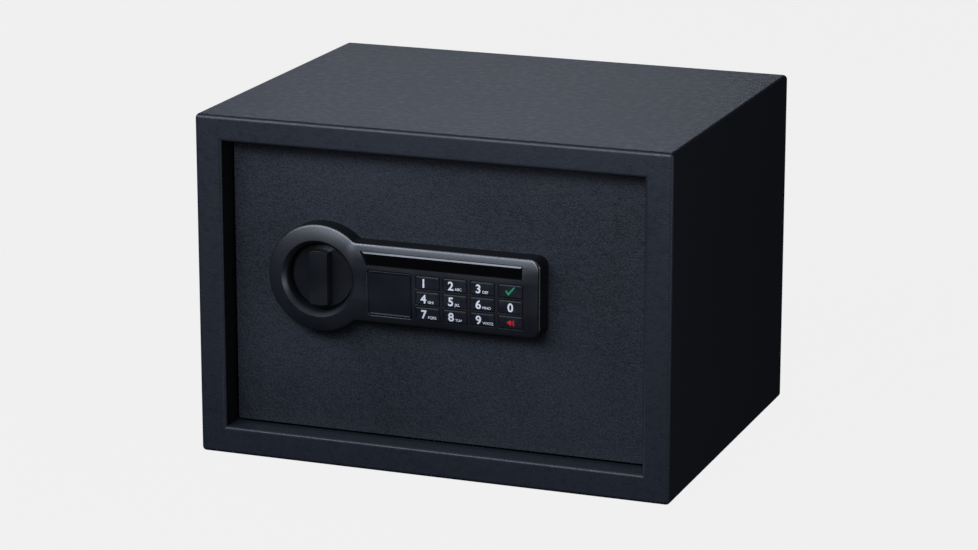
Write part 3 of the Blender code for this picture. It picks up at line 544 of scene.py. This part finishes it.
def dress(obj, material, body, replaced=None):
    """Gives a finished piece its material and its body, and hides the CAD node that it stands for."""
    obj.data.materials.clear()
    obj.data.materials.append(material)
    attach(obj, body)
    if replaced:
        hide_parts(replaced)
    return obj


# ---------------------------------------------------------------- lock housing


def housing_outline(inset, right_inset):
    """The flag-shaped edge of the housing, moved inwards: a ring round the knob and its panel."""
    centre_x, centre_z = KNOB_CENTRE.x, KNOB_CENTRE.z
    ring, half, fillet = RING_RADIUS - inset, PANEL_HALF_HEIGHT - inset, PANEL_FILLET + inset
    top, bottom = centre_z + half, centre_z - half
    right, corner = HOUSING_BOX[1].x - right_inset, max(PANEL_CORNER - inset, 0.0004)
    meet = math.asin((half + fillet) / (ring + fillet))
    fillet_x = centre_x + (ring + fillet) * math.cos(meet)
    meet = math.degrees(meet)
    return (
        arc((centre_x, centre_z), ring, meet, 360 - meet, 120)
        + arc((fillet_x, bottom - fillet), fillet, 180 - meet, 90, 10)[1:]
        + arc((right - corner, bottom + corner), corner, 270, 360, 8)
        + arc((right - corner, top - corner), corner, 0, 90, 8)
        + arc((fillet_x, top + fillet), fillet, 270, 180 + meet, 10)[:-1]
    )


def ease(value, start, end):
    """Rises smoothly from 0 to 1 as the value goes from start to end."""
    share = min(max((value - start) / (end - start), 0.0), 1.0)
    return share * share * (3 - 2 * share)


def pillow(z):
    """How fully the face falls away at this height: less along its lower edge than its upper one."""
    return 1.0 - (1.0 - LOW_EDGE_SHARE) * ease(KNOB_CENTRE.z - z, -0.004, 0.016)


def panel_drop(z):
    """How far the face lies behind its highest part, at a height on the panel."""
    inset = max(0.001, PANEL_HALF_HEIGHT - abs(z - KNOB_CENTRE.z))
    for (near, _, low, _), (far, _, high, _) in zip(HOUSING_SLOPE, HOUSING_SLOPE[1:]):
        if near <= inset <= far:
            return pillow(z) * (low + (high - low) * (inset - near) / (far - near))
    return 0.0


def follow_panel(obj, limit=0.0060):
    """Cuts a flat-fronted piece into level strips and moves its front back to keep to the panel."""
    shape = bmesh.new()
    shape.from_mesh(obj.data)
    low, high = (pick(v.co.z for v in shape.verts) for pick in (min, max))
    count = max(1, round((high - low) / STRIP_HEIGHT))
    for i in range(1, count):
        bmesh.ops.bisect_plane(
            shape, geom=shape.verts[:] + shape.edges[:] + shape.faces[:], dist=0.000001,
            plane_co=(0, 0, low + (high - low) * i / count), plane_no=(0, 0, 1),
        )
    for vert in shape.verts:
        if FACE - 0.001 < vert.co.y - FRONT < limit:
            vert.co.y += panel_drop(vert.co.z)
    shape.to_mesh(obj.data)
    shape.free()
    return obj


def window_outline(grow):
    low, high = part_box("indicator_window")
    radius = RING_RADIUS + 0.0008 - grow
    centre = (KNOB_CENTRE.x, KNOB_CENTRE.z)
    span = (low.z - grow, high.z + grow)
    start, end = (math.degrees(math.asin((z - centre[1]) / radius)) for z in reversed(span))
    return [*arc(centre, radius, start, end, 6), (high.x + grow, span[0]), (high.x + grow, span[1])]


def pocket(node, grow, corner, depth, chamfer=0.0004):
    """A cutter for the rounded pocket that a button or cover stands in."""
    wall = inset_outline(node, -grow, corner)
    mouth = inset_outline(node, -grow - 1.5 * chamfer, corner)
    sections = [(wall, depth), (wall, FACE + chamfer), (mouth, FACE - 0.5 * chamfer), (mouth, OUTSIDE)]
    return follow_panel(loft("cutter_" + node, sections), FACE + 0.001)


def housing(materials):
    """The moulding, with openings for the knob, the window, the key cover and the keys."""
    body = pillowed_body()
    carve(body, [well_cutter(), window_cutter(), *pocket_cutters()])
    settle(soften(body, 0.00012), 35)
    dress(body, materials["housing_plastic"], "door", "lock_bezel")
    # Faces not turned to the front, the side walls, take the darker copy of the plastic: painted shade.
    body.data.materials.append(materials["housing_side_shade"])
    for face in body.data.polygons:
        face.material_index = int(face.normal.y > -0.30)
    return body


def pillowed_body():
    """The closed outer form of the moulding, before anything is cut into it."""
    sections = [(housing_outline(row[0], row[1]), FACE + row[2]) for row in HOUSING_SLOPE]
    body = loft("lock_housing", sections)
    count = len(sections[0][0])
    for i, vert in enumerate(body.data.vertices):
        panel, ring = HOUSING_SLOPE[i // count][2:]
        behind = ring + (panel - ring) * ease(vert.co.x - KNOB_CENTRE.x, BLEND_START, BLEND_END)
        if i >= count:
            behind -= (1.0 - pillow(vert.co.z)) * min(behind, EDGE_START)
        vert.co.y = FRONT + FACE + behind
    return body


def well_cutter():
    centre = (KNOB_CENTRE.x, KNOB_CENTRE.z)
    rings = [(arc(centre, radius, 0, 357, 119), FACE + behind) for radius, behind in WELL_PROFILE]
    return loft("cutter_well", rings[::-1])


def window_cutter():
    sections = [(window_outline(grow), FACE + behind) for grow, behind in WINDOW_OPENING]
    sections.append((window_outline(WINDOW_OPENING[-1][0]), OUTSIDE))
    return follow_panel(loft("cutter_window", sections), FACE + 0.002)


def pocket_cutters():
    cover = pocket("key_cover", 0.0003, 0.0016, FACE + 0.0034)
    return [cover, *(pocket(name, 0.00015, 0.0010, FACE + 0.0048, 0.0002) for name in BUTTONS)]


def indicator_window(materials):
    """Glossy black acrylic that follows the panel's tilt, just below its face."""
    sections = [(window_outline(-inset), FACE + behind) for inset, behind in PANE_PROFILE]
    pane = loft("window_pane", sections)
    settle(follow_panel(pane, FACE + 0.002), 12)
    return dress(pane, materials["window_acrylic"], "door", "indicator_window")


def key_cover(materials):
    """The square cover over the override lock: a shallow dished face inside a thin raised rim."""
    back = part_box("key_cover")[1].y - FRONT
    sections = [(inset_outline("key_cover", 0.0, 0.0018), back)]
    for inset, behind in COVER_PROFILE:
        sections.append((inset_outline("key_cover", inset, 0.0018), FACE + behind))
    cover = follow_panel(loft("lock_cover", sections), FACE + 0.0012)
    settle(cover, 40)
    return dress(cover, materials["cover_plastic"], "key_cover", "key_cover")


# ---------------------------------------------------------------- buttons and their legends


def key_cap(node, materials):
    """One key: a small rubber pad, a little crowned along its edges."""
    low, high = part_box(node)
    front = low.y - FRONT
    sections = [(inset_outline(node, 0.0, 0.0011), high.y - FRONT)]
    sections += [(inset_outline(node, inset, 0.0011), front + behind) for inset, behind in KEY_PROFILE]
    cap = follow_panel(loft("cap_" + node, sections), 0.0020)
    settle(cap, 40)
    return dress(cap, materials["button_rubber"], node, node)


def legend(text, place, height, node, material, bold=0.0):
    """Printed characters standing on a button, from their lower left corner."""
    curve = bpy.data.curves.new("legend", "FONT")
    curve.body = text
    curve.size = height / CAPITAL_SHARE
    curve.extrude = 0.00002
    curve.offset = bold
    curve.resolution_u = 4
    obj = in_scene(bpy.data.objects.new(f"legend_{node}_{len(text)}", curve))
    obj.location = place
    obj.rotation_euler = (math.radians(90), 0, 0)
    bpy.context.view_layer.update()
    graph = bpy.context.evaluated_depsgraph_get()
    mesh = bpy.data.meshes.new_from_object(obj.evaluated_get(graph))
    name, matrix = obj.name, obj.matrix_world.copy()
    bpy.data.objects.remove(obj)
    mesh.transform(matrix)
    made = follow_panel(in_scene(bpy.data.objects.new(name, mesh)))
    return dress(made, material, node)


def symbol(name, outlines, node, material):
    """Flat printed shapes, each outline in metres from the middle of the button."""
    low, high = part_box(node)
    middle = (low + high) / 2
    shape = bmesh.new()
    for outline in outlines:
        corners = [(middle.x + x, low.y - 0.00004, middle.z + z) for x, z in outline]
        shape.faces.new([shape.verts.new(corner) for corner in corners])
    bmesh.ops.recalc_face_normals(shape, faces=shape.faces)
    flat = bmesh.ops.extrude_face_region(shape, geom=shape.faces[:])
    moved = [v for v in flat["geom"] if isinstance(v, bmesh.types.BMVert)]
    bmesh.ops.translate(shape, vec=(0, 0.00003, 0), verts=moved)
    bmesh.ops.recalc_face_normals(shape, faces=shape.faces)
    return dress(follow_panel(as_object(shape, name)), material, node)


def tick_outline():
    return [
        (-0.0036, 0.0002), (-0.0026, 0.0009), (-0.0013, -0.0010),
        (0.0027, 0.0034), (0.0036, 0.0031), (-0.0012, -0.0030),
    ]


def clear_outlines():
    """A triangle that points left, and two bars to its right."""
    width, bars = 0.0006, ((0.0011, 0.0015), (0.0022, 0.0021))
    upright = [[(x, -h), (x + width, -h), (x + width, h), (x, h)] for x, h in bars]
    return [[(-0.0027, 0.0), (0.0005, -0.0021), (0.0005, 0.0021)], *upright]


def buttons(materials):
    for node in BUTTONS:
        key_cap(node, materials)
        low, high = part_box(node)
        middle, face = (low + high) / 2, low.y - 0.00002
        label = node.removeprefix("button_")
        if label == "enter":
            symbol("tick", [tick_outline()], node, materials["green_ink"])
        elif label == "clear":
            symbol("clear_mark", clear_outlines(), node, materials["red_ink"])
        else:
            ink = materials["white_ink"]
            digit_x = middle.x - (0.0019 if label == "0" else 0.0049)
            base = middle.z - DIGIT_HEIGHT / 2
            legend(label, (digit_x, face, base), DIGIT_HEIGHT, node, ink, DIGIT_BOLD)
            if LEGENDS[label]:
                letters = (middle.x + 0.0002, face, base)
                legend(LEGENDS[label], letters, LETTER_HEIGHT, node, ink, LETTER_BOLD)


# ---------------------------------------------------------------- cabinet details


def cabinet_shell(materials):
    """The folded cabinet with the flange's inner edges rolled, where they turn back round the door."""
    shape = bmesh.new()
    shape.from_mesh(frame["nodes"]["body_shell"].data)
    bmesh.ops.remove_doubles(shape, verts=shape.verts, dist=0.000002)
    bmesh.ops.dissolve_limit(shape, angle_limit=math.radians(0.5), verts=shape.verts, edges=shape.edges)
    shape.normal_update()
    bmesh.ops.bevel(
        shape, geom=[e for e in shape.edges if is_flange_edge(e)], offset=FLANGE_ROLL,
        offset_type="OFFSET", segments=6, profile=0.5, affect="EDGES", clamp_overlap=False,
    )
    shell = as_object(shape, "cabinet_shell")
    settle(soften(shell, 0.0002, 1, 50))
    dress(shell, materials["cabinet_paint"], "cabinet", "body_shell")
    # The returns round the door take the darker copy of the paint: painted shade in the recess.
    shell.data.materials.append(materials["return_shade_paint"])
    for face in shell.data.polygons:
        face.material_index = int(is_shaded_return(face))
    return shell


def is_shaded_return(face):
    """True on the flange's returns beside and above the door, which take a darker, duller copy of the
    cabinet paint as painted shade.
    """
    inside = is_in_opening(face.center) and face.center.y < FRONT + RETURN_DEPTH
    return inside and face.normal.y > -0.45 and face.normal.z < 0.5


def is_in_opening(point):
    return abs(point.x) < OPENING_X and OPENING_Z[0] < point.z < OPENING_Z[1]


def is_flange_edge(edge):
    """True for the straight edges that the flange's face ends at, round the door."""
    first, second = (v.co for v in edge.verts)
    if abs(first.y - FRONT) > 0.0001 or abs(second.y - FRONT) > 0.0001:
        return False
    inside = is_in_opening(first) and is_in_opening(second)
    return inside and edge.calc_face_angle(0.0) > 0.8


def floor_mat(materials):
    """A felt mat with a soft nap, its edges a little rounded."""
    low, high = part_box("floor_mat")
    size = high - low
    shape = bmesh.new()
    bmesh.ops.create_grid(shape, x_segments=MAT_GRID[0], y_segments=MAT_GRID[1], size=0.5)
    for vert in shape.verts:
        x, y = vert.co.x, vert.co.y
        edge = min(0.5 - abs(x), 0.5 - abs(y))
        nap = MAT_NAP * math.sin(37 * x + 3 * math.sin(23 * y)) * math.sin(29 * y + 2 * math.sin(31 * x))
        top = high.z - 0.0004 + nap - (MAT_EDGE_DROP if edge < 0.001 else 0.0)
        vert.co = Vector((low.x + (x + 0.5) * size.x, low.y + (y + 0.5) * size.y, top))
    skirt = bmesh.ops.extrude_edge_only(shape, edges=[e for e in shape.edges if e.is_boundary])
    for vert in (v for v in skirt["geom"] if isinstance(v, bmesh.types.BMVert)):
        vert.co.z = low.z
    bmesh.ops.holes_fill(shape, edges=[e for e in shape.edges if e.is_boundary])
    bmesh.ops.recalc_face_normals(shape, faces=shape.faces)
    mat = as_object(shape, "felt_mat")
    for x in MAT_HOLES_X:
        outline = arc((x, 0.0), MAT_HOLE_RADIUS, 0, 345, 23)
        carve(mat, [upright_drill(outline, low.z - 0.002, high.z + 0.002)])
    settle(mat, 50)
    dress(mat, materials["mat_felt"], "cabinet", "floor_mat")


def upright_drill(outline, low, high):
    """A cutter for a hole through the mat."""
    shape = bmesh.new()
    loops = [[shape.verts.new((x, y, z)) for x, y in outline] for z in (low, high)]
    for i in range(len(outline)):
        j = (i + 1) % len(outline)
        shape.faces.new((loops[0][i], loops[0][j], loops[1][j], loops[1][i]))
    for loop in loops:
        shape.faces.new(loop)
    bmesh.ops.recalc_face_normals(shape, faces=shape.faces)
    return as_object(shape, "drill")


# ---------------------------------------------------------------- camera, light and floor


def place_camera():
    yaw, pitch = math.radians(CAMERA_YAW), math.radians(CAMERA_PITCH)
    forward = Vector((math.sin(yaw) * math.cos(pitch), math.cos(yaw) * math.cos(pitch), math.sin(pitch)))
    data = bpy.data.cameras.new("camera")
    data.sensor_width = 36.0
    data.lens = CAMERA_LENS
    data.clip_end = 50.0
    camera = in_scene(bpy.data.objects.new("camera", data))
    camera.location = CAMERA_PLACE
    camera.rotation_mode = "QUATERNION"
    camera.rotation_quaternion = forward.to_track_quat("-Z", "Y")
    bpy.context.scene.camera = camera


def softbox(name, place, target, size, power, colour):
    data = bpy.data.lights.new(name, "AREA")
    data.shape = "RECTANGLE"
    data.size, data.size_y = size
    data.energy = power
    data.color = colour
    lamp = in_scene(bpy.data.objects.new(name, data))
    lamp.visible_camera = False
    lamp.location = place
    lamp.rotation_mode = "QUATERNION"
    lamp.rotation_quaternion = (Vector(target) - Vector(place)).to_track_quat("-Z", "Y")
    return lamp


def backdrop(name, mesh, glow):
    """A pale surface that the camera sees and that takes shadows, but that casts no light of its own."""
    made = new_material(name, (BACKDROP_GREY,) * 3, 0.9, specular=0.0)
    shader = made.node_tree.nodes["Principled BSDF"]
    shader.inputs["Emission Color"].default_value = (1.0, 1.0, 1.0, 1.0)
    shader.inputs["Emission Strength"].default_value = glow
    mesh.materials.append(made)
    obj = in_scene(bpy.data.objects.new(name, mesh))
    obj.visible_diffuse = False
    obj.visible_glossy = False
    obj.visible_shadow = False
    return obj


def studio_room():
    """A pale floor, and a pale wall all round it."""
    reach = STUDIO_RADIUS
    corners = [(x * reach, y * reach, FLOOR_LEVEL) for x, y in ((-1, -1), (1, -1), (1, 1), (-1, 1))]
    floor = bpy.data.meshes.new("studio_floor")
    floor.from_pydata(corners, [], [(0, 1, 2, 3)])
    backdrop("studio_floor", floor, FLOOR_GLOW)
    wall = bpy.data.meshes.new("studio_wall")
    shape = bmesh.new()
    bmesh.ops.create_cone(shape, segments=64, radius1=reach, radius2=reach, depth=2 * reach)
    shape.to_mesh(wall)
    shape.free()
    backdrop("studio_wall", wall, WALL_GLOW)


def light_stage():
    """Softboxes in front and overhead, and one each for the top, the right edge and the back."""
    studio_room()
    for row in SOFTBOXES:
        softbox(*row)
    world = bpy.data.worlds.new("studio")
    world.use_nodes = True
    background = world.node_tree.nodes["Background"]
    background.inputs["Color"].default_value = (*ROOM_COLOUR, 1.0)
    background.inputs["Strength"].default_value = ROOM_LIGHT
    bpy.context.scene.world = world
    bpy.context.scene.view_settings.view_transform = "Standard"


def build():
    place_camera()
    materials = make_materials()
    paint_frame(materials)
    housing(materials)
    indicator_window(materials)
    key_cover(materials)
    buttons(materials)
    cabinet_shell(materials)
    floor_mat(materials)
    light_stage()


build()
